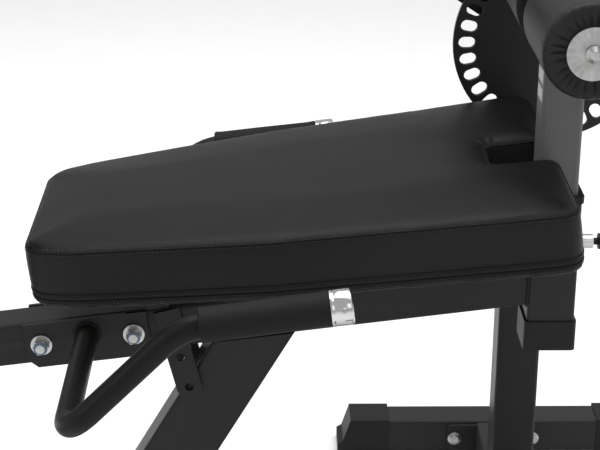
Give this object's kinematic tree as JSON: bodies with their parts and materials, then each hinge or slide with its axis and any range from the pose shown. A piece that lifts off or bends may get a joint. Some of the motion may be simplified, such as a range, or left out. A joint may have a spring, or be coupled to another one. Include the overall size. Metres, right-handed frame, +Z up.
{
  "type": "plate-loaded leg extension and leg curl bench",
  "caption": "Black steel leg extension and leg curl bench with notched tapered seat, roller post, slotted range disc and sliding back rest.",
  "frame": {"origin": "on the floor under the middle of the bounding box", "axes": "+X along the bench towards the knees, +Y towards the loading side, +Z up"},
  "size_m": [1.4867, 0.925, 0.9539],
  "materials": {
    "frame_paint": "satin black powder coat, fine texture",
    "post_paint": "satin dark grey-black powder coat",
    "black_rubber": "matt black rubber",
    "black_plastic": "moulded black plastic",
    "zinc": "zinc plated steel",
    "chrome": "bright chrome",
    "pad_vinyl": "fine grained black vinyl",
    "roller_vinyl": "soft black vinyl with gathered ends",
    "plywood": "raw plywood",
    "bronze": "sintered bronze",
    "label": "blank pale film"
  },
  "bodies": {
    "frame": {"main_beam": "frame_paint", "receiver_tube": "frame_paint", "receiver_cap": "black_rubber", "receiver_collar": "black_plastic", "post_pin_barrel": "zinc", "post_spring": "zinc", "diagonal_leg": "frame_paint", "base_rail": "frame_paint", "front_base_tube": "frame_paint", "far_foot": "frame_paint", "near_foot": "frame_paint", "foot_ends": "black_rubber", "foot_flanges": "frame_paint", "foot_bolts": "zinc", "rear_leg": "frame_paint", "rear_base_tube": "frame_paint", "rear_feet": "black_rubber", "beam_end_plug": "black_plastic", "side_upright": "frame_paint", "cross_tube": "frame_paint", "side_link": "frame_paint", "pivot_housing": "frame_paint", "pivot_axle": "zinc", "bracket_bars": "frame_paint", "handle_plates": "frame_paint", "handle_tubes": "frame_paint", "grips": "black_rubber", "grip_caps": "chrome", "handle_bolts": "zinc", "seat_risers": "frame_paint", "seat_board": "plywood", "seat_pad": "pad_vinyl", "seat_bolts": "zinc"},
    "roller_post": {"roller_post": "post_paint", "post_cap": "black_plastic", "post_scale": "label", "thigh_shaft": "zinc", "thigh_end_bolts": "zinc"},
    "post_pin": {"post_pin": "black_plastic"},
    "near_thigh_roller": {"near_thigh_core": "black_plastic", "near_thigh_roller": "roller_vinyl"},
    "far_thigh_roller": {"far_thigh_core": "black_plastic", "far_thigh_roller": "roller_vinyl"},
    "leg_lever": {"selector_disc": "frame_paint", "lever_bar": "frame_paint", "lever_bush": "bronze", "shin_shaft": "zinc", "shin_end_bolt": "zinc"},
    "near_shin_roller": {"near_shin_roller": "roller_vinyl"},
    "far_shin_roller": {"far_shin_roller": "roller_vinyl"},
    "weight_arm": {"weight_arm": "frame_paint", "arm_bush": "bronze", "plate_horn": "chrome", "selector_barrel": "zinc"},
    "selector_pin": {"selector_pin": "black_plastic"},
    "back_rest": {"back_carriage": "frame_paint", "back_frame": "frame_paint", "back_board": "plywood", "back_pad": "pad_vinyl"},
    "back_pin": {"back_pin": "black_plastic"}
  },
  "joints": [
    {"name": "post_height", "type": "slide", "parent": "frame", "child": "roller_post", "axis": [0, 0, 1], "range_m": [0, 0.09]},
    {"name": "post_pin_pull", "type": "slide", "parent": "frame", "child": "post_pin", "axis": [-1, 0, 0], "range_m": [0, 0.006]},
    {"name": "near_thigh_spin", "type": "hinge", "parent": "roller_post", "child": "near_thigh_roller", "pos_m": [0.31955, 0, 0.765], "axis": [0, 1, 0], "continuous": true},
    {"name": "far_thigh_spin", "type": "hinge", "parent": "roller_post", "child": "far_thigh_roller", "pos_m": [0.31955, 0, 0.765], "axis": [0, 1, 0], "continuous": true},
    {"name": "lever_swing", "type": "hinge", "parent": "frame", "child": "leg_lever", "pos_m": [0.3434, 0, 0.6732], "axis": [0, -1, 0], "range_deg": [-96, 36]},
    {"name": "near_shin_spin", "type": "hinge", "parent": "leg_lever", "child": "near_shin_roller", "pos_m": [0.6934, 0, 0.6732], "axis": [0, 1, 0], "continuous": true},
    {"name": "far_shin_spin", "type": "hinge", "parent": "leg_lever", "child": "far_shin_roller", "pos_m": [0.6934, 0, 0.6732], "axis": [0, 1, 0], "continuous": true},
    {"name": "arm_index", "type": "hinge", "parent": "leg_lever", "child": "weight_arm", "pos_m": [0.3434, 0, 0.6732], "axis": [0, -1, 0], "range_deg": [-90, 11.25]},
    {"name": "selector_pin_pull", "type": "slide", "parent": "weight_arm", "child": "selector_pin", "axis": [0, -1, 0], "range_m": [0, 0.009]},
    {"name": "back_position", "type": "slide", "parent": "frame", "child": "back_rest", "axis": [-0.9921, 0, -0.1253], "range_m": [0, 0.16]},
    {"name": "back_pin_pull", "type": "slide", "parent": "back_rest", "child": "back_pin", "axis": [0, 1, 0], "range_m": [0, 0.006]}
  ]
}
